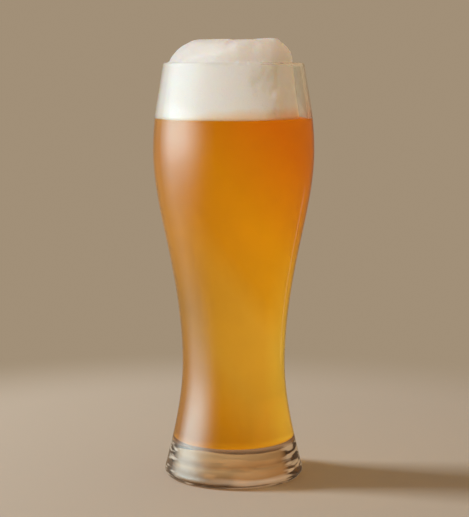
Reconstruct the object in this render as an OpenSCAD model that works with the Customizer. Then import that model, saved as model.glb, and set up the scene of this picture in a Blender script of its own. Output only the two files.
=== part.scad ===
// Weizen glass: a tall waisted beer glass, filled, with its head of foam.
// The origin is on the table at the centre of the foot, and +Z is up.

/* [Outline of the glass] */
// Height of the glass, from the table to the rim
glass_h = 226; // [210:1:250]
// Outer diameter of the rim
rim_d = 75.6; // [70:0.2:84]
// Largest outer diameter, at the belly
belly_d = 87.3; // [82:0.1:94]
// Depth of the belly's widest place below the rim
belly_drop = 47.5; // [38:0.5:60]
// Smallest outer diameter, at the waist
waist_d = 56.2; // [50:0.2:64]
// Height of the waist above the table
waist_z = 63; // [54:0.5:76]
// Largest outer diameter of the foot
foot_d = 75.9; // [70:0.1:84]
// Radius of the heel, where the foot rounds in to the table
heel_round = 3.6; // [2:0.1:6]

/* [Walls of the glass] */
// Wall at the rim, which is also the thickness of its rounded lip
rim_wall = 1.9; // [1.4:0.1:2.6]
// Wall at the belly
belly_wall = 2.1; // [1.6:0.1:3]
// Wall at the waist
waist_wall = 3; // [2.2:0.1:4]
// Wall where the inside meets the solid base
base_wall = 3.6; // [2.8:0.1:5]
// Height of the inside floor above the table, over the solid base
floor_z = 19.5; // [14:0.5:26]
// Radius of the corner between the inside floor and the wall
floor_round = 4; // [2:0.5:7]
// Width of the flat ring that the glass rests on
ring_width = 3.8; // [2:0.1:7]
// Depth of the shallow hollow under the base, inside the ring
punt_depth = 1.5; // [0.8:0.1:3]

/* [Beer and foam] */
// Depth of the line where the beer meets the foam, below the rim
fill_drop = 30; // [26:0.5:60]
// Height of the foam's top above the rim
foam_rise = 13; // [11:0.5:16]
// Clear gap between the foam and the wall, on the +X side only
foam_gap = 5.3; // [3:0.1:8]
// Radius of the foam's top edge on the +X side
foam_edge_round = 9; // [5:0.5:10]
// Radius of the foam's long shoulder on the -X side
foam_shoulder_round = 20; // [16:0.5:24]
// Radius of the flat top that the shoulder runs into
foam_top_r = 22; // [18:0.5:26]
// How far the middle of the shoulder stands to the +X side
foam_lean = 6; // [4:0.5:8]

/* [Hidden] */

// Height of a band of the smooth outline, which is made of such bands
band_h = 4;
// Steps along an arc, and along the hollow under the base
arc_steps = 10;
punt_steps = 8;
$fn = 128;

// Slopes are shares of the mean slope of the stretch that they belong to
foot_slope_share = 1.55;
flank_slope_share = 1.52;
shoulder_slope_share = 1.52;
// The flank's place between waist and belly, and the shoulder's between belly and rim
flank_z_share = 0.545;
flank_r_share = 0.489;
shoulder_z_share = 0.63;
shoulder_r_share = 0.484;
// Lean of the foam's side below its long shoulder, in degrees
shoulder_lean = 20;

foot_r = foot_d / 2;
waist_r = waist_d / 2;
belly_r = belly_d / 2;
rim_r = rim_d / 2;
belly_z = glass_h - belly_drop;
fill_z = glass_h - fill_drop;
ring_outer_r = foot_r - heel_round;
ring_inner_r = ring_outer_r - ring_width;
foot_slope = foot_slope_share * (waist_r - foot_r) / (waist_z - heel_round);
flank_slope = flank_slope_share * (belly_r - waist_r) / (belly_z - waist_z);
shoulder_slope = shoulder_slope_share * (rim_r - belly_r) / (glass_h - belly_z);

// The heel's arc ends where it runs smoothly into the flare of the foot
heel_lean = atan(-foot_slope);
heel_top_r = ring_outer_r + heel_round * cos(heel_lean);
heel_top_z = heel_round + heel_round * sin(heel_lean);

// Stations of the outer face, from the foot up: height, radius and slope
stations = [
    [heel_top_z, heel_top_r, foot_slope],
    [waist_z, waist_r, 0],
    [waist_z + flank_z_share * (belly_z - waist_z), waist_r + flank_r_share * (belly_r - waist_r), flank_slope],
    [belly_z, belly_r, 0],
    [belly_z + shoulder_z_share * (glass_h - belly_z), belly_r + shoulder_r_share * (rim_r - belly_r), shoulder_slope],
    [glass_h, rim_r, shoulder_slope]
];

// Wall thickness by height, level with the table
walls = [[floor_z, base_wall], [waist_z, waist_wall], [belly_z, belly_wall], [glass_h, rim_wall]];

// Radius at height z on the cubic curve from station a to station b
function curve_r(a, b, z) =
    let (rise = b[0] - a[0], t = (z - a[0]) / rise)
    a[1] * (2 * t ^ 3 - 3 * t ^ 2 + 1) + b[1] * (3 * t ^ 2 - 2 * t ^ 3)
    + rise * (a[2] * (t ^ 3 - 2 * t ^ 2 + t) + b[2] * (t ^ 3 - t ^ 2));

// How many of the stations between the first and the last lie below z
function stations_below(z) = len([for (i = [1 : len(stations) - 2]) if (stations[i][0] < z) i]);

// Radius of the outer and of the inner face of the wall at height z
function outer_r(z) = let (i = stations_below(z)) curve_r(stations[i], stations[i + 1], z);
function inner_r(z) = outer_r(z) - lookup(z, walls);

// Heights from one place to another, both included, a band or less apart
function band_heights(from_z, to_z) =
    let (bands = ceil((to_z - from_z) / band_h))
    [for (i = [0 : bands]) from_z + i * (to_z - from_z) / bands];

// Points of an arc: its centre's radius and height, its own radius, and two angles
function arc(centre_r, centre_z, round_r, from_a, to_a) =
    [for (i = [0 : arc_steps])
        let (a = from_a + i * (to_a - from_a) / arc_steps)
        [centre_r + round_r * cos(a), centre_z + round_r * sin(a)]];

function reversed(points) = [for (i = [len(points) - 1 : -1 : 0]) points[i]];

// The lip is a half round on top of the wall
lip_round = rim_wall / 2;
lip_z = glass_h - lip_round;

// The floor's corner is an arc that meets the leaning wall smoothly
floor_lean = atan((inner_r(floor_z + floor_round) - inner_r(floor_z + 2 * floor_round)) / floor_round);
corner_top_z = floor_z + floor_round + floor_round * sin(floor_lean);
corner_centre_r = inner_r(corner_top_z) - floor_round * cos(floor_lean);
floor_corner = arc(corner_centre_r, floor_z + floor_round, floor_round, -90, floor_lean);

// The inside of the glass, which the beer fills below the line and the foam above it
inside_low = [for (z = band_heights(corner_top_z, fill_z)) [inner_r(z), z]];
inside_high = [for (z = band_heights(fill_z, lip_z)) [inner_r(z), z]];

foam_top_z = glass_h + foam_rise;
mouth_r = inner_r(lip_z);

// The glass vessel: one piece, from the ring that it rests on to the lip
module glass() {
    punt = [for (i = [0 : punt_steps])
        let (r = ring_inner_r * i / punt_steps)
        [r, punt_depth * (1 - (r / ring_inner_r) ^ 2)]];
    heel = arc(ring_outer_r, heel_round, heel_round, -90, heel_lean);
    outside = [for (z = band_heights(heel_top_z, lip_z)) [outer_r(z), z]];
    lip = arc(outer_r(lip_z) - lip_round, lip_z, lip_round, 0, 180);
    inside = concat(inside_low, inside_high);
    color([0.86, 0.9, 0.9, 0.35])
        rotate_extrude()
            polygon(concat(punt, heel, outside, lip, reversed(inside), reversed(floor_corner), [[0, floor_z]]));
}

// The beer, from the floor of the glass to the foam
module beer() {
    color([0.86, 0.5, 0.06, 0.9])
        rotate_extrude()
            polygon(concat([[0, floor_z]], floor_corner, inside_low, [[0, fill_z]]));
}

// The inside above the beer, carried straight up past the lip
module mouth_column() {
    rotate_extrude()
        polygon(concat([[0, fill_z]], inside_high, [[mouth_r, foam_top_z], [0, foam_top_z]]));
}

// The same column with a rounded top edge
module rounded_column() {
    edge = arc(mouth_r - foam_edge_round, foam_top_z - foam_edge_round, foam_edge_round, 0, 90);
    rotate_extrude()
        polygon(concat([[0, fill_z]], inside_high, edge, [[0, foam_top_z]]));
}

// A wide dome whose long shoulder leans out as it comes down
module shoulder_dome() {
    centre_z = foam_top_z - foam_shoulder_round;
    shoulder = arc(foam_top_r, centre_z, foam_shoulder_round, shoulder_lean, 90);
    base_r = shoulder[0][0] + (shoulder[0][1] - fill_z) * tan(shoulder_lean);
    rotate_extrude()
        polygon(concat([[0, fill_z], [base_r, fill_z]], shoulder, [[0, foam_top_z]]));
}

// The head of foam: it clings to the wall on the -X side and stands clear of it on the +X side
module foam() {
    color([0.97, 0.93, 0.86])
        intersection() {
            mouth_column();
            translate([-foam_gap, 0, 0])
                rounded_column();
            translate([foam_lean, 0, 0])
                shoulder_dome();
        }
}

glass();
beer();
foam();
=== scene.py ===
"""A weizen glass filled with cloudy wheat beer under a tall head of foam.

The sidebar panel lists the pieces. Each has its own operator and its own sizes and colours.
"""

import math

import bpy
from bpy.props import FloatProperty, FloatVectorProperty, IntProperty, PointerProperty
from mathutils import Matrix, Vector, noise
from mathutils.bvhtree import BVHTree


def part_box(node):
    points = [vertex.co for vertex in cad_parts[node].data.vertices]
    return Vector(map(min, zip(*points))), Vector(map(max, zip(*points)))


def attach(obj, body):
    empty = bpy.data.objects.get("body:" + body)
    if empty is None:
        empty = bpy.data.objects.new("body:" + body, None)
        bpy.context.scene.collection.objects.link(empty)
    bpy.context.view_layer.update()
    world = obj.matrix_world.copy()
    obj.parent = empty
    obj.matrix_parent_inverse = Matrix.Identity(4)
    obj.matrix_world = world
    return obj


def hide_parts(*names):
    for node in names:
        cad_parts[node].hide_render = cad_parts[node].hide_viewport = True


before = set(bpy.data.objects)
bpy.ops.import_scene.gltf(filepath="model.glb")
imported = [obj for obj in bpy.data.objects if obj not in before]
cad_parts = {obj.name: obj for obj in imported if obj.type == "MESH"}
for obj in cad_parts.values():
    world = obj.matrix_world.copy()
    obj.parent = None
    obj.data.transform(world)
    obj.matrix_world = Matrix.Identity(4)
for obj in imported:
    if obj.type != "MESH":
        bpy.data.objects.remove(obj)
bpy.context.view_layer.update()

bl_info = {
    "name": "Weizen Glass",
    "version": (1, 0, 0),
    "blender": (4, 5, 0),
    "location": "3D View > Sidebar > Weizen Glass",
    "description": "Builds a filled weizen glass with its foam",
    "category": "Add Mesh",
}

BODY = "root"
MM = 0.001

# Where the glass, the beer and the foam are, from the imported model
GLASS_LOW, GLASS_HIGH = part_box("glass")
BEER_LOW, BEER_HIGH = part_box("beer")
FOAM_LOW, FOAM_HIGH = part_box("foam")

# The foam's crest and groove, as the photograph shows them on its top
CREST_PLACE = Vector((0.019, -0.012, FOAM_HIGH.z - 0.003))
CREST_SPREAD = 0.0045
GROOVE_X = -0.0015
GROOVE_SPREAD = 0.0025
GROOVE_WANDER = 0.006
GROOVE_END = (-0.016, 0.004)
SLOPE_ACROSS = (0.02, 0.03)
SLOPE_UP = (FOAM_HIGH.z - 0.009, FOAM_HIGH.z - 0.001)
BULGE_PLACE = Vector((0.031, -0.008, GLASS_HIGH.z + 0.002))
BULGE_SPREAD = 0.005
FOAM_SMOOTHINGS = 6
# The small lumps' size and height, as shares of the large ones'
SMALL_LUMP_SIZE = 0.3
SMALL_LUMP_HEIGHT = 0.4
# Where the noise for the small lumps and for the groove is taken, so that they don't repeat the large lumps
SMALL_LUMP_SHIFT = Vector((7, 3, 1))
GROOVE_ROW = 5
# From this share of the cling's reach on, the foam lies fully on the wall
CLING_FULL = 0.4

# Faces between two bends of a turned outline, and the least turn that stays a corner
OUTLINE_STEPS = 3
CORNER_ANGLE = math.radians(30)

# The beer's colours run on past its bottom and its top, by this share of its height
BEER_MARGIN = 0.2
# Their places, from the beer's bottom (0) to its top (1), and the setting that colours each
BEER_COLORS = ((0.05, "low_color"), (0.22, "waist_color"), (0.48, "waist_color"),
               (0.6, "flank_color"), (0.8, "top_color"), (1.15, "crown_color"))
# The yeast's clouds: how often they change per metre, the part of the noise that shows, their brightness
HAZE_SCALE = 25.0
HAZE_NOISE = (0.3, 0.7)
HAZE_LIGHT = (0.95, 1.05)
# From here to there across the glass, the beer takes its painted left shade
SHADE_ACROSS = (0.02, -0.035)
# Below the belly the beer has painted shade on the left (0) and painted light on the right (1)
WAIST_SHADES = (
    (0.05, 0.73), (0.19, 0.77), (0.28, 0.88), (0.4, 0.92), (0.5, 0.94), (0.7, 0.97), (0.9, 1.0))
# All of those painted shades are made lighter by this factor
WAIST_BOOST = 1.05
# How much of that shows, over the height that the beer's colours run over
WAIST_UP = ((0.18, 0.45), (0.32, 1.0), (0.44, 1.0), (0.62, 0.0))
# The painted light along the right edge: how far to the right the beer faces there, and its place in that
# height
EDGE_FACES = (0.6, 1.15)
EDGE_UP = (0.6, 0.34)
# The same for the painted light that stands for what the thick base throws into the beer's low right side
GLOW_FACES = (0.3, 0.95)
GLOW_UP = (0.255, 0.185)

# How often the foam's coarse bubbles come, as a share of the fine ones, and how far out their pits reach
COARSE_SHARE = 0.3
PIT_REACH = 0.32
# Strength of the fine and of the coarse bumps, and their depth in bubble sizes
FILM_BUMP = (0.6, 0.25)
PIT_BUMP = (0.35, 0.4)
# How often the edge of the wet foam wavers, per metre, and how much sooner its tint fades at its left edge,
# as painted light there
WOBBLE_SCALE = 90.0
PAINTED_LIGHT_LEFT = 0.9
# How far red, green and blue light spread in the foam, in millimetres
FOAM_SPREAD = (5.0, 4.0, 3.0)

# The middle of what a noise texture gives
NOISE_MIDDLE = 0.5

GLASS_IOR = 1.5
# The glass darkens from this much edge on
EDGE_START = 0.72
# Light that has been turned back more often than this is scattered, in the wall and in the base
WALL_TURNS = 0.5
BASE_TURNS = 2
# The look of the base begins and is complete at these heights over the beer's bottom
BASE_BLEND = (1.5 * MM, -0.5 * MM)
# Share of the base's shade that soft light takes, where a lamp's light takes all of it
SOFT_SHADE = 0.3

# How often the streaks in the base and the facets at its sides change in each direction, per metre
BASE_STREAKS = Vector((40, 40, 160))
BASE_FACETS = Vector((70, 70, 450))
# Painted bands of the beer's refracted light and shade in the base, from the table (0) to the beer (1), and
# the setting that colours each
BASE_BANDS = (
    (0.0, "base_dark"), (0.1, "base_dark"), (0.18, "base_shadow"), (0.33, "base_shadow"),
    (0.5, "painted_base_brown"), (0.64, "base_shadow"), (0.8, "painted_base_brown"), (0.96, "painted_base_brown"),
    (1.0, "base_dark"))
# How far the streaks bend those bands, as a share of the base's height
STREAK_WAVER = 0.25
# The painted highlight line over the heel, lighter towards the right: its place in that height, its ends
# across the glass, and what is left of it at the left end
HEEL_HIGHLIGHT_UP = ((0.1, 0), (0.17, 1), (0.25, 1), (0.33, 0))
HEEL_HIGHLIGHT_ACROSS = (-0.015, 0.022)
HEEL_HIGHLIGHT_LEFT = 0.15
# The painted dark and light reflections at the sides of the base, as facets: how far edge on they begin and
# are complete, and the step of their noise from dark to light
SIDE_FACING = (0.36, 0.5)
FACET_STEP = (0.45, 0.56)

# The lights that the glass mirrors: (degrees, share of the full strength). Across, 0 is the camera's side
# and left is positive. Up, 0 is level.
SOFT_BOX_ACROSS = (
    (26, 0), (38, 0.05), (45, 0.14), (52, 0.3), (61, 0.58), (73, 0.9), (86, 1), (100, 0.85), (108, 0.6),
    (117, 0.3), (130, 0.05), (150, 0))
SOFT_BOX_UP = (
    (-40, 0), (-25, 0.06), (-17, 0.2), (-8, 0.5), (1, 1), (7, 1), (13, 0.4), (40, 0.4), (50, 0))
MIRRORED_FRONT = ((-178, 0), (-165, 1), (80, 1), (130, 0))
STRIP_ACROSS = ((-135, 0), (-133, 1), (-131, 1), (-129, 0))
STRIP_UP = ((-19, 0), (-17, 1), (-12, 1), (-10, 0))
# The ceiling begins and is complete where a direction rises by this much, with 1 straight up
CEILING_UP = (0.3, 0.55)

# Radii of the floor's rings and its faces around, and where it fades into the backdrop
FLOOR_RINGS = (0.3, 1.0, 3.0, 12.0)
FLOOR_SEGMENTS = 96
FLOOR_FADE = (0.22, 0.38)

# The lamps: name, azimuth in degrees, distance, height, size of the lit face, setting of the power, colour
LAMPS = (
    ("key", 26, 0.7, 0.5, (0.7, 0.7), "key_power", (0.95, 0.99, 1.03)),
    ("side", 86, 0.75, 0.6, (0.4, 0.3), "side_power", (0.93, 0.97, 1.0)),
    ("back", 200, 0.75, 0.22, (0.7, 0.36), "back_power", (1.0, 0.86, 0.66)),
)
FLOOR_LAMP = ("low", 99, 1.5, 0.9, (0.45, 0.3), "floor_power", (1.0, 0.96, 0.9))
LAMP_TARGET = Vector((0, 0, 0.12))


# Sizes and colours


class GlassSettings(bpy.types.PropertyGroup):
    """Sizes and finish of the glass vessel, and the painted light and shade of its base"""

    segments: IntProperty(name="Segments", description="Faces around the glass", default=192, min=48)
    tint: FloatVectorProperty(
        name="Tint", description="Colour of the clear glass", default=(0.985, 0.99, 0.985), subtype="COLOR")
    roughness: FloatProperty(
        name="Roughness", description="Roughness of the polished surface", default=0.01, min=0, max=1,
        subtype="FACTOR")
    ripple_size: FloatProperty(
        name="Ripple Size", description="Distance between the faint ripples of blown glass", default=0.03,
        unit="LENGTH")
    ripple_height: FloatProperty(
        name="Ripple Height", description="Height of the ripples", default=0.00006, precision=6,
        unit="LENGTH")
    edge_tint: FloatVectorProperty(
        name="Edge Tint", description="Colour of the glass where it is seen edge on",
        default=(0.5, 0.42, 0.34), subtype="COLOR")
    # Painted amber in the clear base, standing in for the beer's light that the base carries
    painted_base_amber: FloatVectorProperty(
        name="Base Tint", description="Colour of the thick base, which picks up the amber of the beer",
        default=(0.76, 0.6, 0.42), subtype="COLOR")
    base_shade: FloatVectorProperty(
        name="Base Shade", description="Light that the thick base lets through to the floor",
        default=(0.45, 0.29, 0.15), subtype="COLOR")
    caught_color: FloatVectorProperty(
        name="Caught Light", description="Colour of the light that runs on inside the wall",
        default=(0.85, 0.8, 0.7), subtype="COLOR")
    base_caught_color: FloatVectorProperty(
        name="Caught Light in the Base", description="Colour of the light that runs on inside the base",
        default=(0.3, 0.2, 0.12), subtype="COLOR")
    # Painted brown of the beer's light refracted in the base, in which its streaks lie
    painted_base_brown: FloatVectorProperty(
        name="Base Depth", description="Brown that the streaks in the base lie in",
        default=(0.72, 0.49, 0.24), subtype="COLOR")
    # Painted shade between the streaks in the base
    base_shadow: FloatVectorProperty(
        name="Base Shadow", description="Darker brown between the streaks in the base",
        default=(0.46, 0.28, 0.12), subtype="COLOR")
    # Painted shade: dark streaks at the sides of the base, next to the table and under the beer
    base_dark: FloatVectorProperty(
        name="Base Dark", description="Dark streaks at the sides of the base", default=(0.07, 0.04, 0.022),
        subtype="COLOR")
    # Painted highlights: light streaks at the sides of the base and the light line over its heel
    base_light: FloatVectorProperty(
        name="Base Light", description="Light streaks at the sides of the base", default=(0.95, 0.88, 0.75),
        subtype="COLOR")
    # The painted facets at the base's sides reach further in on the right
    facet_lean: FloatProperty(
        name="Facet Lean", description="How much wider the band of facets is on the right, per metre",
        default=2.5)
    # Share of the painted base colour that shows in place of the clear glass, in the middle and at the
    # sides
    painted_base_share: FloatProperty(
        name="Base Haze", description="Share of the light that the base itself gives back", default=0.65,
        min=0, max=1, subtype="FACTOR")
    painted_side_share: FloatProperty(
        name="Side Haze", description="The same share at the sides of the base", default=0.85, min=0, max=1,
        subtype="FACTOR")
    streak_height: FloatProperty(
        name="Streak Height", description="Height of the level streaks in the base", default=0.001,
        precision=5, unit="LENGTH")


class BeerSettings(bpy.types.PropertyGroup):
    """Sizes and colours of the beer"""

    grip: FloatProperty(
        name="Wetting",
        description="How far the beer's skin lies in the wall, so that no air shows between them",
        default=0.00015, precision=5, unit="LENGTH")
    crown_color: FloatVectorProperty(
        name="Crown Colour", description="Colour of the beer under the foam", default=(0.92, 0.4, 0.003),
        subtype="COLOR")
    top_color: FloatVectorProperty(
        name="Top Colour", description="Colour of the beer in the belly", default=(0.95, 0.61, 0.018),
        subtype="COLOR")
    flank_color: FloatVectorProperty(
        name="Flank Colour", description="Colour of the beer between waist and belly",
        default=(0.92, 0.6, 0.052), subtype="COLOR")
    waist_color: FloatVectorProperty(
        name="Waist Colour", description="Colour of the beer in the waist", default=(0.935, 0.68, 0.19),
        subtype="COLOR")
    low_color: FloatVectorProperty(
        name="Bottom Colour", description="Colour of the beer near the floor", default=(1.0, 0.61, 0.045),
        subtype="COLOR")
    # Painted light on the beer's low right side, for light that the thick base would throw into it
    painted_base_glow: FloatProperty(
        name="Base Glow", description="Light that the thick base adds to the beer's low right side",
        default=0.42)
    # Painted light at the beer's right edge, below the belly
    painted_edge_light: FloatVectorProperty(
        name="Edge Colour", description="Colour of the beer at its right edge, below the belly",
        default=(1.0, 0.9, 0.3), subtype="COLOR")
    # Painted shift in hue across the glass, standing in for how the light falls on the beer
    painted_slant: FloatProperty(
        name="Slant",
        description="How much lower the colours lie on the right, as a share of the height per metre",
        default=8.0)
    # Painted shade towards the beer's left edge
    painted_left_shade: FloatProperty(
        name="Left Shade", description="How much deeper in colour the beer is at its left edge",
        default=0.14, min=0, max=1, subtype="FACTOR")
    clearness: FloatProperty(
        name="Clearness", description="Share of the light that goes on through the cloudy beer",
        default=0.96, min=0, max=1, subtype="FACTOR")


class FoamSettings(bpy.types.PropertyGroup):
    """Sizes and colours of the head of foam"""

    columns: IntProperty(name="Columns", description="Faces around the foam", default=360, min=60)
    rows: IntProperty(name="Rows", description="Faces from the foam's edge to its top", default=110, min=20)
    lump_height: FloatProperty(
        name="Lump Height", description="Height of the soft lumps", default=0.0009, precision=4,
        unit="LENGTH")
    lump_size: FloatProperty(
        name="Lump Size", description="Distance between the lumps", default=0.014, precision=3,
        unit="LENGTH")
    crest_height: FloatProperty(
        name="Crest Height", description="Height of the one crest on the foam's top", default=0.0022,
        precision=4, unit="LENGTH")
    groove_depth: FloatProperty(
        name="Groove Depth", description="Depth of the groove across the foam's top", default=0.0007,
        precision=4, unit="LENGTH")
    slope_depth: FloatProperty(
        name="Slope Depth", description="How much the foam's right edge has slipped down", default=0.0009,
        precision=4, unit="LENGTH")
    bulge_height: FloatProperty(
        name="Bulge Height", description="How far the foam bulges to the right, just over the rim",
        default=0.0014, precision=4, unit="LENGTH")
    cling: FloatProperty(
        name="Cling", description="The foam reaches over a gap to the wall of up to this width",
        default=0.0044, precision=4, unit="LENGTH")
    bubble_size: FloatProperty(
        name="Bubble Size", description="Size of the fine bubbles", default=0.0009, precision=4,
        unit="LENGTH")
    color: FloatVectorProperty(
        name="Colour", description="Colour of the foam", default=(0.92, 0.93, 0.885), subtype="COLOR")
    # Partly the foam's wetting with beer, partly a painted amber glow of the beer's light
    wet_and_glow_color: FloatVectorProperty(
        name="Wet Colour", description="Colour of the foam where it meets the beer",
        default=(0.92, 0.66, 0.42), subtype="COLOR")
    wet_height: FloatProperty(
        name="Wet Height", description="Height of the coloured foam over the beer", default=0.007,
        unit="LENGTH")


class StageSettings(bpy.types.PropertyGroup):
    """Camera, floor and lights"""

    camera_distance: FloatProperty(
        name="Camera Distance", description="From the glass to the camera, along the floor", default=0.856,
        unit="LENGTH")
    camera_height: FloatProperty(
        name="Camera Height", description="Height of the camera over the floor", default=0.2256,
        unit="LENGTH")
    camera_side: FloatProperty(
        name="Camera Side", description="How far the camera is to the right of the glass", default=0.00046,
        precision=5, unit="LENGTH")
    camera_pitch: FloatProperty(
        name="Camera Pitch", description="How far the camera looks down", default=math.radians(7.047),
        subtype="ANGLE")
    focal_length: FloatProperty(
        name="Focal Length", description="Of the lens, in millimetres", default=109.95)
    backdrop_color: FloatVectorProperty(
        name="Backdrop", description="Colour of the backdrop", default=(0.36, 0.277, 0.187),
        subtype="COLOR")
    floor_color: FloatVectorProperty(
        name="Floor", description="Colour of the floor near the glass", default=(0.55, 0.53, 0.485),
        subtype="COLOR")
    left_color: FloatVectorProperty(
        name="Light on the Left", description="Soft light from the left", default=(0.2, 0.2, 0.19),
        subtype="COLOR", soft_max=2)
    right_color: FloatVectorProperty(
        name="Light on the Right", description="Soft light from the right", default=(0.56, 0.32, 0.13),
        subtype="COLOR")
    front_color: FloatVectorProperty(
        name="Front", description="Colour of the dim room that the front of the glass mirrors",
        default=(0.16, 0.12, 0.08), subtype="COLOR")
    ceiling_color: FloatVectorProperty(
        name="Ceiling", description="Dark ceiling that the glass reflects", default=(0.3, 0.24, 0.18),
        subtype="COLOR")
    key_power: FloatProperty(
        name="Key Light", description="Power of the key light", default=2.85, unit="POWER")
    side_power: FloatProperty(
        name="Side Light", description="Power of the light on the left", default=2.1, unit="POWER")
    back_power: FloatProperty(
        name="Back Light", description="Power of the light behind, which makes the beer glow", default=5.6,
        unit="POWER")
    floor_power: FloatProperty(
        name="Floor Light", description="Power of the light on the left that lights only the floor",
        default=26.5, unit="POWER")
    box_strength: FloatProperty(
        name="Soft Box", description="Brightness of the soft box that the glass mirrors", default=8.5)
    box_color: FloatVectorProperty(
        name="Soft Box Colour", description="Colour of the lights that the glass mirrors",
        default=(0.7, 0.93, 0.97), subtype="COLOR")
    strip_strength: FloatProperty(
        name="Strip", description="Brightness of the thin strip light behind", default=0.35)


# Shared helpers


def add_node(tree, kind, inputs=None, **settings):
    """Adds a shader node. Its inputs are values or the sockets that feed them."""
    made = tree.nodes.new(kind)
    for name, value in settings.items():
        setattr(made, name, value)
    for name, value in (inputs or {}).items():
        if isinstance(value, bpy.types.NodeSocket):
            tree.links.new(value, made.inputs[name])
        else:
            made.inputs[name].default_value = value
    return made


def opaque(color):
    """A colour with its alpha."""
    return (*color, 1.0)


def new_material(name):
    """An empty node material: its node tree and its output node."""
    material = bpy.data.materials.new(name)
    material.use_nodes = True
    tree = material.node_tree
    tree.nodes.clear()
    return material, tree, tree.nodes.new("ShaderNodeOutputMaterial")


def math_of(tree, operation, first, second):
    """The socket of one calculation with two values."""
    return add_node(tree, "ShaderNodeMath", {0: first, 1: second}, operation=operation).outputs["Value"]


def plus(tree, first, second):
    """The sum of two values."""
    return math_of(tree, "ADD", first, second)


def times(tree, first, second):
    """The product of two values."""
    return math_of(tree, "MULTIPLY", first, second)


def ranged(tree, value, low, high, to_low=0.0, to_high=1.0):
    """The value carried from one range to another, and held at its ends."""
    return add_node(tree, "ShaderNodeMapRange", {
        "Value": value, "From Min": low, "From Max": high, "To Min": to_low, "To Max": to_high,
    }).outputs["Result"]


def part_of(tree, vector, axis):
    """One of a vector's three parts."""
    return add_node(tree, "ShaderNodeSeparateXYZ", {"Vector": vector}).outputs[axis]


def place_on_object(tree):
    """The place on the object, in its own axes."""
    return add_node(tree, "ShaderNodeTexCoord").outputs["Object"]


def stretched(tree, place, scales):
    """The place with each direction scaled by itself."""
    scaled = add_node(tree, "ShaderNodeVectorMath", {0: place, 1: scales}, operation="MULTIPLY")
    return scaled.outputs["Vector"]


def noise_of(tree, place, scale, detail, roughness=0.5):
    """What a noise texture gives at each place."""
    return add_node(tree, "ShaderNodeTexNoise", {
        "Vector": place, "Scale": scale, "Detail": detail, "Roughness": roughness}).outputs["Fac"]


def bumped(tree, height, strength, depth, below=None, invert=False):
    """The direction of a bumpy surface, which may lie over another bump."""
    inputs = {"Height": height, "Strength": strength, "Distance": depth}
    if below is not None:
        inputs["Normal"] = below
    return add_node(tree, "ShaderNodeBump", inputs, invert=invert).outputs["Normal"]


def mixed(tree, factor, first, second):
    """The first colour at factor 0 and the second at 1."""
    mix = add_node(tree, "ShaderNodeMix", {"Factor": factor, 6: first, 7: second}, data_type="RGBA")
    return mix.outputs[2]


def mixed_shader(tree, factor, first, second):
    """The first shader at factor 0 and the second at 1."""
    return add_node(tree, "ShaderNodeMixShader", {0: factor, 1: first, 2: second}).outputs["Shader"]


def degree_ramp(tree, angle, stops):
    """A ramp over an angle, from (degrees, share) stops."""
    turned = ranged(tree, angle, -math.pi, math.pi)
    return share_ramp(tree, turned, [(0.5 + degrees / 360, share) for degrees, share in stops])


def share_ramp(tree, factor, stops):
    """A ramp from (place, share) stops."""
    return color_ramp(tree, factor, [(place, (share,) * 3) for place, share in stops])


def color_ramp(tree, factor, stops):
    """A colour ramp with the given (place, colour) stops."""
    ramp = add_node(tree, "ShaderNodeValToRGB", {"Fac": factor})
    elements = ramp.color_ramp.elements
    while len(elements) < len(stops):
        elements.new(0.5)
    for element, (place, color) in zip(elements, stops):
        element.position = place
        element.color = opaque(color)
    return ramp.outputs["Color"]


def height_share(tree, low, high):
    """0 at height low and 1 at height high, and past them beyond."""
    share = add_node(tree, "ShaderNodeMapRange", {
        "Value": part_of(tree, place_on_object(tree), "Z"), "From Min": low, "From Max": high}, clamp=False)
    return share.outputs["Result"]


def link_piece(name, mesh, material, node):
    """Puts a finished mesh in the scene in place of a CAD node."""
    mesh.materials.clear()
    mesh.materials.append(material)
    mesh.shade_smooth()
    piece = bpy.data.objects.new(name, mesh)
    bpy.context.scene.collection.objects.link(piece)
    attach(piece, BODY)
    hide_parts(node)
    return piece


# Outlines of the turned pieces


def seam_outline(node):
    """The outline that a turned CAD node was made from, as (radius, height) points in order."""
    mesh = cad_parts[node].data
    snap = 1e-6
    on_seam = {}
    for vertex in mesh.vertices:
        x, y, z = vertex.co
        if abs(y) < snap and x > -snap:
            on_seam[vertex.index] = (round(x, 6), round(z, 6))
    beside = {}
    for edge in mesh.edges:
        a, b = (on_seam.get(v) for v in edge.vertices)
        if a and b and a != b:
            beside.setdefault(a, set()).add(b)
            beside.setdefault(b, set()).add(a)
    ends = sorted((p for p, near in beside.items() if len(near) == 1), key=lambda p: p[1])
    points = [ends[0]]
    while True:
        onward = [p for p in beside[points[-1]] if len(points) < 2 or p != points[-2]]
        if not onward:
            break
        points.append(onward[0])
    if points[-1] != ends[1]:
        raise RuntimeError(f"the outline of {node} is broken")
    return closed_to_axis(points)


def closed_to_axis(points):
    """The same outline with both ends carried to the axis."""
    first = [] if points[0][0] == 0 else [(0.0, points[0][1])]
    last = [] if points[-1][0] == 0 else [(0.0, points[-1][1])]
    return [Vector(p) for p in first + points + last]


def turn_angle(a, b, c):
    """How far the outline turns at b."""
    return (b - a).angle_signed(c - b)


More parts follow.
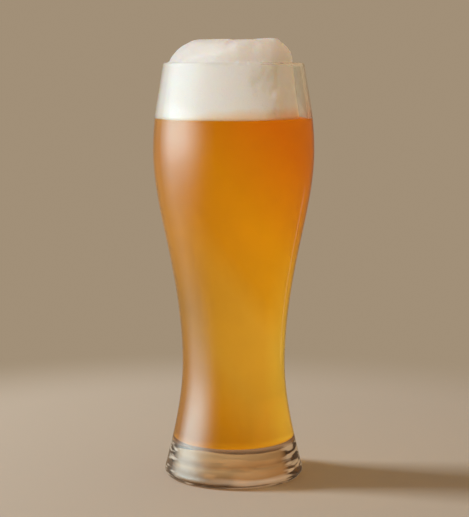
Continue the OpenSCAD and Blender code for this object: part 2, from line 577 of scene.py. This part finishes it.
def smooth_outline(points, steps, corner_angle):
    """A finer outline through the same bends, which stays sharp at its corners."""
    straight = math.radians(0.15)
    bends = [points[0]]
    for before, here, after in zip(points, points[1:], points[2:]):
        if abs(turn_angle(before, here, after)) > straight:
            bends.append(here)
    bends.append(points[-1])

    def direction(i, side):
        """The outline's direction at a bend, seen from the stretch before it or after it."""
        into = (bends[i] - bends[i - 1]) if i > 0 else None
        out = (bends[i + 1] - bends[i]) if i < len(bends) - 1 else None
        if into is None:
            return out.normalized()
        if out is None:
            return into.normalized()
        if abs(into.angle_signed(out)) > corner_angle:
            return (into if side == "before" else out).normalized()
        return (into.normalized() * out.length + out.normalized() * into.length).normalized()

    fine = []
    for i in range(len(bends) - 1):
        a, b = bends[i], bends[i + 1]
        reach = (b - a).length
        from_a, into_b = direction(i, "after") * reach, direction(i + 1, "before") * reach
        for step in range(steps):
            t = step / steps
            fine.append(a * (2 * t**3 - 3 * t**2 + 1) + b * (3 * t**2 - 2 * t**3)
                        + from_a * (t**3 - 2 * t**2 + t) + into_b * (t**3 - t**2))
    return fine + [bends[-1]]


def fine_outline(node):
    """The smooth outline of a turned CAD node."""
    return smooth_outline(seam_outline(node), OUTLINE_STEPS, CORNER_ANGLE)


def circle(count):
    """Cosine and sine of each of a circle's evenly spread directions."""
    return [(math.cos(a), math.sin(a)) for a in (2 * math.pi * i / count for i in range(count))]


def turned_mesh(name, outline, segments):
    """Turns an outline that starts and ends on the axis into a closed mesh."""
    inner = outline[1:-1]
    vertices = [(0, 0, outline[0].y)]
    vertices += [(p.x * c, p.x * s, p.y) for p in inner for c, s in circle(segments)]
    vertices.append((0, 0, outline[-1].y))
    last = len(vertices) - 1
    faces = []
    for i in range(segments):
        j = (i + 1) % segments
        faces.append((0, 1 + j, 1 + i))
        for row in range(len(inner) - 1):
            low, high = 1 + row * segments, 1 + (row + 1) * segments
            faces.append((low + i, low + j, high + j, high + i))
        top = last - segments
        faces.append((top + i, top + j, last))
    mesh = bpy.data.meshes.new(name)
    mesh.from_pydata(vertices, [], faces)
    mesh.validate()
    return mesh


# Materials


def clear_glass_material(settings):
    """Polished clear glass that lets lamps and soft light through to what it holds, with painted light and
    shade in its thick base.
    """
    material, tree, output = new_material("clear_glass")
    place = place_on_object(tree)
    ripples = noise_of(tree, place, 1 / settings.ripple_size, detail=1.0, roughness=0.4)
    surface = bumped(tree, ripples, strength=1.0, depth=settings.ripple_height)
    begins, complete = (BEER_LOW.z + rise for rise in BASE_BLEND)
    clamp = add_node(tree, "ShaderNodeClamp", {"Value": height_share(tree, begins, complete)})
    in_base = clamp.outputs["Result"]
    streaks = noise_of(tree, stretched(tree, place, BASE_STREAKS), scale=1.0, detail=1.0)
    uneven = bumped(tree, streaks, in_base, settings.streak_height, surface)
    facing = add_node(tree, "ShaderNodeLayerWeight", {"Blend": 0.5}).outputs["Facing"]
    edge = color_ramp(tree, facing, [
        (0.0, settings.tint), (EDGE_START, settings.tint), (1.0, settings.edge_tint)])
    # In the base, the glass's colour is a painted amber of the beer's light
    glass = add_node(tree, "ShaderNodeBsdfPrincipled", {
        "Base Color": mixed(tree, in_base, edge, opaque(settings.painted_base_amber)),
        "Roughness": settings.roughness, "IOR": GLASS_IOR, "Transmission Weight": 1.0, "Normal": uneven})
    painted_base_color, at_side = painted_base_look(tree, settings, place, facing, streaks)
    # The base's painted light and shade, shown over the clear glass
    painted_base_shader = add_node(tree, "ShaderNodeBsdfPrincipled", {
        "Base Color": painted_base_color, "Roughness": settings.roughness, "IOR": GLASS_IOR, "Normal": surface})
    # Share of the painted base look over the clear glass
    painted_share = ranged(tree, at_side, 0.0, 1.0, settings.painted_base_share, settings.painted_side_share)
    seen = mixed_shader(tree, times(tree, in_base, painted_share), glass.outputs["BSDF"], painted_base_shader.outputs["BSDF"])

    path = add_node(tree, "ShaderNodeLightPath").outputs
    allowed = ranged(tree, in_base, 0.0, 1.0, WALL_TURNS, BASE_TURNS)
    spent = math_of(tree, "GREATER_THAN", path["Glossy Depth"], allowed)
    caught = add_node(tree, "ShaderNodeBsdfDiffuse", {
        "Color": mixed(tree, in_base, opaque(settings.caught_color), opaque(settings.base_caught_color))})
    seen = mixed_shader(tree, spent, seen, caught.outputs["BSDF"])

    shaded = times(tree, in_base, ranged(tree, path["Is Shadow Ray"], 0.0, 1.0, to_low=SOFT_SHADE))
    through = add_node(tree, "ShaderNodeBsdfTransparent", {
        "Color": mixed(tree, shaded, opaque(settings.tint), opaque(settings.base_shade))})
    plainly = math_of(tree, "MAXIMUM", path["Is Shadow Ray"], path["Is Diffuse Ray"])
    tree.links.new(mixed_shader(tree, plainly, seen, through.outputs["BSDF"]), output.inputs["Surface"])
    return material


def painted_base_look(tree, settings, place, facing, streaks):
    """The painted colour of the thick base: bands of refracted light and shade, a highlight over its heel
    and reflecting facets at its sides, and how far its sides show.
    """
    across = part_of(tree, place, "X")
    # Painted reflections at the base's sides: dark and light facets
    facets = noise_of(tree, stretched(tree, place, BASE_FACETS), scale=1.0, detail=1.0)
    sides = mixed(tree, ranged(tree, facets, *FACET_STEP),
                  opaque(settings.base_dark), opaque(settings.base_light))
    # Painted bands of refracted light and shade, bent by the streaks
    waver = times(tree, math_of(tree, "SUBTRACT", streaks, NOISE_MIDDLE), STREAK_WAVER)
    level = plus(tree, height_share(tree, GLASS_LOW.z, BEER_LOW.z), waver)
    bands = color_ramp(tree, level, [(share, getattr(settings, name)) for share, name in BASE_BANDS])
    # Painted highlight over the heel, lighter towards the right
    heel = times(tree, share_ramp(tree, level, HEEL_HIGHLIGHT_UP),
                 ranged(tree, across, *HEEL_HIGHLIGHT_ACROSS, to_low=HEEL_HIGHLIGHT_LEFT))
    bands = mixed(tree, heel, bands, opaque(settings.base_light))
    at_side = ranged(tree, plus(tree, facing, times(tree, across, settings.facet_lean)), *SIDE_FACING)
    return mixed(tree, at_side, bands, sides), at_side


def wheat_beer_material(settings):
    """Cloudy beer: light goes in, is scattered by the yeast and comes back amber, with painted shade on its
    left and painted light on its right.
    """
    material, tree, output = new_material("wheat_beer")
    place = place_on_object(tree)
    across = part_of(tree, place, "X")
    faces = part_of(tree, add_node(tree, "ShaderNodeTexCoord").outputs["Normal"], "X")
    margin = BEER_MARGIN * (BEER_HIGH.z - BEER_LOW.z)
    height = height_share(tree, BEER_LOW.z - margin, BEER_HIGH.z + margin)
    whole = 1 + 2 * BEER_MARGIN
    # Painted hue shift across the glass, for how the light falls
    slanted = plus(tree, height, times(tree, across, settings.painted_slant / whole))
    color = color_ramp(tree, slanted, [
        ((share + BEER_MARGIN) / whole, getattr(settings, name)) for share, name in BEER_COLORS])
    # Painted light along the right edge below the belly
    edge = times(tree, ranged(tree, faces, *EDGE_FACES), ranged(tree, height, *EDGE_UP))
    color = mixed(tree, edge, color, opaque(settings.painted_edge_light))

    # Painted shade on the left of the waist and painted light on its right
    waist = share_ramp(tree, ranged(tree, faces, -1.0, 1.0), WAIST_SHADES)
    painted_waist_shade = math_of(tree, "SUBTRACT", times(tree, waist, WAIST_BOOST), 1.0)
    dimmed = plus(tree, times(tree, share_ramp(tree, height, WAIST_UP), painted_waist_shade), 1.0)
    # Painted light from the thick base on the beer's low right side
    near_base = times(tree, ranged(tree, faces, *GLOW_FACES), ranged(tree, height, *GLOW_UP))
    lit = plus(tree, times(tree, settings.painted_base_glow, near_base), 1.0)
    haze = ranged(tree, noise_of(tree, place, HAZE_SCALE, detail=3.0), *HAZE_NOISE, *HAZE_LIGHT)
    # Painted shade towards the left
    shade = ranged(tree, across, *SHADE_ACROSS, 1.0, 1 - settings.painted_left_shade)
    value = times(tree, times(tree, dimmed, lit), times(tree, haze, shade))
    clouded = add_node(tree, "ShaderNodeHueSaturation", {"Color": color, "Value": value}).outputs["Color"]

    cloudy = add_node(tree, "ShaderNodeBsdfPrincipled", {
        "Base Color": clouded, "Roughness": 0.3, "IOR": 1.34, "Specular IOR Level": 0.1})
    clear = add_node(tree, "ShaderNodeBsdfTranslucent", {"Color": clouded})
    tree.links.new(mixed_shader(tree, settings.clearness, cloudy.outputs["BSDF"], clear.outputs["BSDF"]),
                   output.inputs["Surface"])
    return material


def beer_foam_material(settings):
    """White foam of fine bubbles, tinted where it is wet with beer and by a painted amber glow of the
    beer's light, which fades sooner on the lit left.
    """
    material, tree, output = new_material("beer_foam")
    place = place_on_object(tree)
    fine, coarse = (
        add_node(tree, "ShaderNodeTexVoronoi", {"Vector": place, "Scale": share / settings.bubble_size})
        for share in (1, COARSE_SHARE))
    film = bumped(tree, fine.outputs["Distance"], FILM_BUMP[0], FILM_BUMP[1] * settings.bubble_size,
                  invert=True)
    pits = ranged(tree, coarse.outputs["Distance"], 0.0, PIT_REACH)
    surface = bumped(tree, pits, PIT_BUMP[0], PIT_BUMP[1] * settings.bubble_size, film)
    wobble = noise_of(tree, place, WOBBLE_SCALE, detail=2.0)
    height = height_share(tree, FOAM_LOW.z, FOAM_LOW.z + settings.wet_height)
    # The wet tint and painted glow fade sooner on the left, as painted light there
    leftward = ranged(tree, part_of(tree, place, "X"), 0.0, -FOAM_HIGH.x, to_high=PAINTED_LIGHT_LEFT)
    dryness_and_light = plus(tree, leftward, times(tree, height, plus(tree, wobble, NOISE_MIDDLE)))
    color = color_ramp(tree, dryness_and_light, [(0.0, settings.wet_and_glow_color), (1.0, settings.color)])
    foam = add_node(tree, "ShaderNodeBsdfPrincipled", {
        "Base Color": color, "Roughness": 0.6, "Specular IOR Level": 0.25, "Subsurface Weight": 1.0,
        "Subsurface Radius": FOAM_SPREAD, "Subsurface Scale": MM, "Normal": surface})
    tree.links.new(foam.outputs["BSDF"], output.inputs["Surface"])
    return material


# Operators, one for each piece and one for the stage


class BuildGlass(bpy.types.Operator):
    """Build the clear glass vessel"""

    bl_idname = "weizen.glass"
    bl_label = "Glass"

    def execute(self, context):
        settings = context.scene.weizen_glass
        outline = [Vector((min(p.x, GLASS_HIGH.x), max(p.y, 0))) for p in fine_outline("glass")]
        mesh = turned_mesh("glass_vessel", outline, settings.segments)
        link_piece("glass_vessel", mesh, clear_glass_material(settings), "glass")
        return {"FINISHED"}


class BuildBeer(bpy.types.Operator):
    """Build the beer, whose skin wets the wall of the glass"""

    bl_idname = "weizen.beer"
    bl_label = "Beer"

    def execute(self, context):
        settings = context.scene.weizen_beer
        outline = fine_outline("beer")
        wetted = []
        for before, here, after in zip(outline, outline[1:], outline[2:]):
            along = (after - before).normalized()
            out = Vector((along.y, -along.x)) if here is not outline[-2] else Vector((1, 0))
            wetted.append(here + out * settings.grip)
        ends = [outline[0] - Vector((0, settings.grip)), outline[-1]]
        mesh = turned_mesh("beer_fill", [ends[0], *wetted, ends[1]], context.scene.weizen_glass.segments)
        link_piece("beer_fill", mesh, wheat_beer_material(settings), "beer")
        return {"FINISHED"}


class BuildFoam(bpy.types.Operator):
    """Build the head of foam, with its lumps and its bubbles"""

    bl_idname = "weizen.foam"
    bl_label = "Foam"

    def execute(self, context):
        settings = context.scene.weizen_foam
        mesh = foam_mesh(settings, context.scene.weizen_beer.grip)
        link_piece("foam_head", mesh, beer_foam_material(settings), "foam")
        return {"FINISHED"}


def inside_wall():
    """The inside of the glass above the beer, as (height, radius) places from the bottom up."""
    outline = seam_outline("glass")
    highest = max(range(len(outline)), key=lambda i: outline[i].y)
    return sorted((p.y, p.x) for p in outline[highest:] if p.y > BEER_HIGH.z - MM)


def wall_radius(wall, z):
    """Radius of the inside of the glass at a height."""
    for (low_z, low_r), (high_z, high_r) in zip(wall, wall[1:]):
        if low_z <= z <= high_z:
            return low_r + (high_r - low_r) * (z - low_z) / (high_z - low_z)
    return math.inf


def smooth_step(value, low, high):
    """0 below low, 1 above high, and smooth between."""
    t = min(max((value - low) / (high - low), 0), 1)
    return t * t * (3 - 2 * t)


def foam_mesh(settings, grip):
    """The CAD foam in even faces, with lumps, a groove and a crest, pressed to the wall where it's near."""
    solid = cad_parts["foam"].data
    tree = BVHTree.FromPolygons([v.co for v in solid.vertices], [p.vertices for p in solid.polygons])
    rows, columns = settings.rows, settings.columns
    centre = Vector((0, 0, FOAM_LOW.z + MM))
    rays, reach = [], []
    for row in range(rows):
        rise = math.pi / 2 * row / rows
        outward, upward = math.cos(rise), math.sin(rise)
        rays.append([Vector((outward * c, outward * s, upward)) for c, s in circle(columns)])
        reach.append([tree.ray_cast(centre, ray)[3] for ray in rays[-1]])
    for _ in range(FOAM_SMOOTHINGS):
        reach = smoothed(reach)
    wall = inside_wall()
    vertices = [foam_place(centre, ray, length, settings, wall, grip)
                for ray_row, reach_row in zip(rays, reach) for ray, length in zip(ray_row, reach_row)]
    for vertex in vertices[:columns]:
        vertex.z = FOAM_LOW.z
    up = Vector((0, 0, 1))
    vertices.append(foam_place(centre, up, sum(reach[-1]) / columns, settings, wall, grip))
    vertices.append(Vector((0, 0, FOAM_LOW.z)))
    top, bottom = len(vertices) - 2, len(vertices) - 1
    faces = []
    for i in range(columns):
        j = (i + 1) % columns
        faces.append((bottom, j, i))
        for row in range(rows - 1):
            low, high = row * columns, (row + 1) * columns
            faces.append((low + i, low + j, high + j, high + i))
        faces.append((top - columns + i, top - columns + j, top))
    mesh = bpy.data.meshes.new("foam_head")
    mesh.from_pydata(vertices, [], faces)
    mesh.validate()
    return mesh


def smoothed(reach):
    """Every length averaged with its neighbours', but for the edge that meets the beer."""
    columns = len(reach[0])
    result = [reach[0]]
    for row in range(1, len(reach)):
        below, here, above = reach[row - 1], reach[row], reach[min(row + 1, len(reach) - 1)]
        result.append([(4 * here[i] + below[i] + above[i] + here[i - 1] + here[(i + 1) % columns]) / 8
                       for i in range(columns)])
    return result


def foam_place(centre, ray, length, settings, wall, grip):
    """Where a point of the foam's surface goes."""
    place = centre + ray * length
    lump = noise.noise(place / settings.lump_size)
    small = noise.noise(place / (SMALL_LUMP_SIZE * settings.lump_size) + SMALL_LUMP_SHIFT)
    highness = smooth_step(place.z, GLASS_HIGH.z, FOAM_HIGH.z)
    crest = math.exp(-(place - CREST_PLACE).length_squared / (2 * CREST_SPREAD**2))
    wander = GROOVE_WANDER * noise.noise(Vector((place.y / settings.lump_size, GROOVE_ROW, 0)))
    groove = highness * math.exp(-((place.x - GROOVE_X - wander) / GROOVE_SPREAD) ** 2)
    groove *= 1 - smooth_step(place.y, *GROOVE_END)
    length += settings.lump_height * (lump + SMALL_LUMP_HEIGHT * small - highness)
    bulge = math.exp(-(place - BULGE_PLACE).length_squared / (2 * BULGE_SPREAD**2))
    length += settings.crest_height * crest - settings.groove_depth * groove + settings.bulge_height * bulge
    length -= settings.slope_depth * smooth_step(place.x, *SLOPE_ACROSS) * smooth_step(place.z, *SLOPE_UP)
    place = centre + ray * length
    radius, held = math.hypot(place.x, place.y), wall_radius(wall, place.z)
    if held < math.inf:
        touch = smooth_step(radius, held - settings.cling, held - CLING_FULL * settings.cling)
        wanted = min(radius + touch * (held + grip - radius), held + grip)
        place.x, place.y = place.x * wanted / radius, place.y * wanted / radius
    place.z = max(place.z, FOAM_LOW.z)
    over = place.z - (FOAM_HIGH.z - MM)
    if over > 0:
        place.z = FOAM_HIGH.z - MM * math.exp(-over / MM)
    return place


class BuildStage(bpy.types.Operator):
    """Set up the camera, the floor, the backdrop and the lights"""

    bl_idname = "weizen.stage"
    bl_label = "Stage"

    def execute(self, context):
        settings = context.scene.weizen_stage
        add_camera(context.scene, settings)
        floor = add_floor(context.scene, settings)
        add_world(context.scene, settings)
        add_lights(context.scene, settings, floor)
        context.scene.view_settings.view_transform = "Standard"
        return {"FINISHED"}


def add_camera(scene, settings):
    """The camera stands where the photograph was taken from."""
    lens = bpy.data.cameras.new("camera")
    lens.lens = settings.focal_length
    lens.sensor_width = 36
    camera = bpy.data.objects.new("camera", lens)
    camera.location = (settings.camera_side, -settings.camera_distance, settings.camera_height)
    camera.rotation_euler = (math.pi / 2 - settings.camera_pitch, 0, 0)
    scene.collection.objects.link(camera)
    scene.camera = camera


def add_floor(scene, settings):
    """A wide pale floor that fades into the backdrop's colour."""
    vertices = [(0, 0, 0)]
    vertices += [(radius * c, radius * s, 0) for radius in FLOOR_RINGS for c, s in circle(FLOOR_SEGMENTS)]
    faces = []
    for i in range(FLOOR_SEGMENTS):
        j = (i + 1) % FLOOR_SEGMENTS
        faces.append((0, 1 + i, 1 + j))
        for row in range(len(FLOOR_RINGS) - 1):
            low, high = 1 + row * FLOOR_SEGMENTS, 1 + (row + 1) * FLOOR_SEGMENTS
            faces.append((low + i, high + i, high + j, low + j))
    mesh = bpy.data.meshes.new("floor")
    mesh.from_pydata(vertices, [], faces)
    material, tree, output = new_material("pale_floor")
    radius = add_node(tree, "ShaderNodeVectorMath", {0: place_on_object(tree)}, operation="LENGTH")
    fade = add_node(tree, "ShaderNodeMapRange", {
        "Value": radius.outputs["Value"], "From Min": FLOOR_FADE[0], "From Max": FLOOR_FADE[1],
    }, interpolation_type="SMOOTHSTEP")
    near = add_node(tree, "ShaderNodeBsdfDiffuse", {"Color": opaque(settings.floor_color)})
    far = add_node(tree, "ShaderNodeEmission", {"Color": opaque(settings.backdrop_color), "Strength": 1.0})
    tree.links.new(
        mixed_shader(tree, fade.outputs["Result"], near.outputs["BSDF"], far.outputs["Emission"]),
        output.inputs["Surface"])
    mesh.materials.append(material)
    floor = bpy.data.objects.new("floor", mesh)
    floor.visible_glossy = False
    scene.collection.objects.link(floor)
    return floor


def add_world(scene, settings):
    """A plain backdrop for the eye, a soft box and a strip for the gloss, and soft light for all else."""
    world = bpy.data.worlds.new("studio")
    world.use_nodes = True
    tree = world.node_tree
    tree.nodes.clear()
    output = tree.nodes.new("ShaderNodeOutputWorld")
    parts = add_node(tree, "ShaderNodeSeparateXYZ", {
        "Vector": add_node(tree, "ShaderNodeTexCoord").outputs["Generated"]}).outputs
    room = color_ramp(tree, parts["Z"], [
        (0.0, settings.backdrop_color), (CEILING_UP[0], settings.backdrop_color),
        (CEILING_UP[1], settings.ceiling_color)])
    soft = color_ramp(tree, ranged(tree, parts["X"], -1.0, 1.0), [
        (0.0, settings.left_color), (1.0, settings.right_color)])

    toward = math_of(tree, "ARCTAN2", times(tree, parts["X"], -1.0), times(tree, parts["Y"], -1.0))
    up = math_of(tree, "ARCSINE", parts["Z"], 0.0)
    box = times(tree, degree_ramp(tree, toward, SOFT_BOX_ACROSS), degree_ramp(tree, up, SOFT_BOX_UP))
    strip = times(tree, degree_ramp(tree, toward, STRIP_ACROSS), degree_ramp(tree, up, STRIP_UP))

    path = add_node(tree, "ShaderNodeLightPath").outputs
    gloss = math_of(tree, "MAXIMUM", path["Is Glossy Ray"], path["Is Transmission Ray"])
    sight = add_node(tree, "ShaderNodeMath", {0: gloss, 1: path["Diffuse Depth"]},
                     operation="SUBTRACT", use_clamp=True)
    plain = mixed(tree, path["Is Camera Ray"], soft, opaque(settings.backdrop_color))
    front = times(tree, path["Is Glossy Ray"], degree_ramp(tree, toward, MIRRORED_FRONT))
    dimmed = mixed(tree, front, room, opaque(settings.front_color))
    base = add_node(tree, "ShaderNodeBackground", {
        "Color": mixed(tree, sight.outputs["Value"], plain, dimmed), "Strength": 1.0})
    lights = plus(tree, times(tree, box, settings.box_strength),
                  times(tree, strip, settings.strip_strength))
    glow = add_node(tree, "ShaderNodeBackground", {
        "Color": opaque(settings.box_color), "Strength": times(tree, path["Is Glossy Ray"], lights)})
    total = add_node(tree, "ShaderNodeAddShader", {
        0: base.outputs["Background"], 1: glow.outputs["Background"]})
    tree.links.new(total.outputs["Shader"], output.inputs["Surface"])
    scene.world = world


def aimed(location, target):
    """The rotation that points a lamp from its place to the target."""
    return (target - location).to_track_quat("-Z", "Y").to_euler()


def around(azimuth, distance, height):
    """A place around the glass: azimuth 0 is on the camera's side and grows to the left."""
    a = math.radians(azimuth)
    return (-distance * math.sin(a), -distance * math.cos(a), height)


def add_lights(scene, settings, floor):
    """Three lamps light all but the floor: a soft key in front, one on the left and a wide warm one behind.

    The fourth lights only the floor, so that the glass throws one clear shadow to the right.
    """
    all_but_floor = floor_rule("all_but_the_floor", floor, "EXCLUDE")
    for row in LAMPS:
        add_lamp(scene, settings, all_but_floor, *row)
    add_lamp(scene, settings, floor_rule("only_the_floor", floor, "INCLUDE"), *FLOOR_LAMP)


def floor_rule(name, floor, state):
    """The rule by which a lamp lights the floor alone, or all but the floor."""
    group = bpy.data.collections.new(name)
    group.objects.link(floor)
    group.collection_objects[0].light_linking.link_state = state
    return group


def add_lamp(scene, settings, rule, name, azimuth, distance, height, size, power, color):
    """An area lamp aimed at the glass, which doesn't mirror it."""
    lamp = bpy.data.lights.new(name, "AREA")
    lamp.shape = "RECTANGLE"
    lamp.size, lamp.size_y = size
    lamp.energy = getattr(settings, power)
    lamp.color = color
    lamp.cycles.use_multiple_importance_sampling = False
    light = bpy.data.objects.new(name, lamp)
    light.location = around(azimuth, distance, height)
    light.rotation_euler = aimed(light.location, LAMP_TARGET)
    light.visible_glossy = False
    light.visible_transmission = False
    light.light_linking.receiver_collection = rule
    scene.collection.objects.link(light)


# The add-on


class WeizenPanel(bpy.types.Panel):
    """Lists the pieces of the weizen glass with their sizes and colours"""

    bl_idname = "VIEW3D_PT_weizen"
    bl_label = "Weizen Glass"
    bl_space_type = "VIEW_3D"
    bl_region_type = "UI"
    bl_category = "Weizen Glass"

    def draw(self, context):
        for operator, settings in PIECES:
            box = self.layout.box()
            box.operator(operator.bl_idname)
            group = getattr(context.scene, settings)
            for name in group.__annotations__:
                box.prop(group, name)


PIECES = (
    (BuildGlass, "weizen_glass"),
    (BuildBeer, "weizen_beer"),
    (BuildFoam, "weizen_foam"),
    (BuildStage, "weizen_stage"),
)
SETTINGS = {
    "weizen_glass": GlassSettings,
    "weizen_beer": BeerSettings,
    "weizen_foam": FoamSettings,
    "weizen_stage": StageSettings,
}
CLASSES = (*SETTINGS.values(), BuildGlass, BuildBeer, BuildFoam, BuildStage, WeizenPanel)


def register():
    for made in CLASSES:
        bpy.utils.register_class(made)
    for name, group in SETTINGS.items():
        setattr(bpy.types.Scene, name, PointerProperty(type=group))


def unregister():
    for name in SETTINGS:
        delattr(bpy.types.Scene, name)
    for made in reversed(CLASSES):
        bpy.utils.unregister_class(made)


def main():
    """Builds every piece and the stage."""
    register()
    bpy.ops.weizen.glass()
    bpy.ops.weizen.beer()
    bpy.ops.weizen.foam()
    bpy.ops.weizen.stage()


if __name__ == "__main__":
    main()
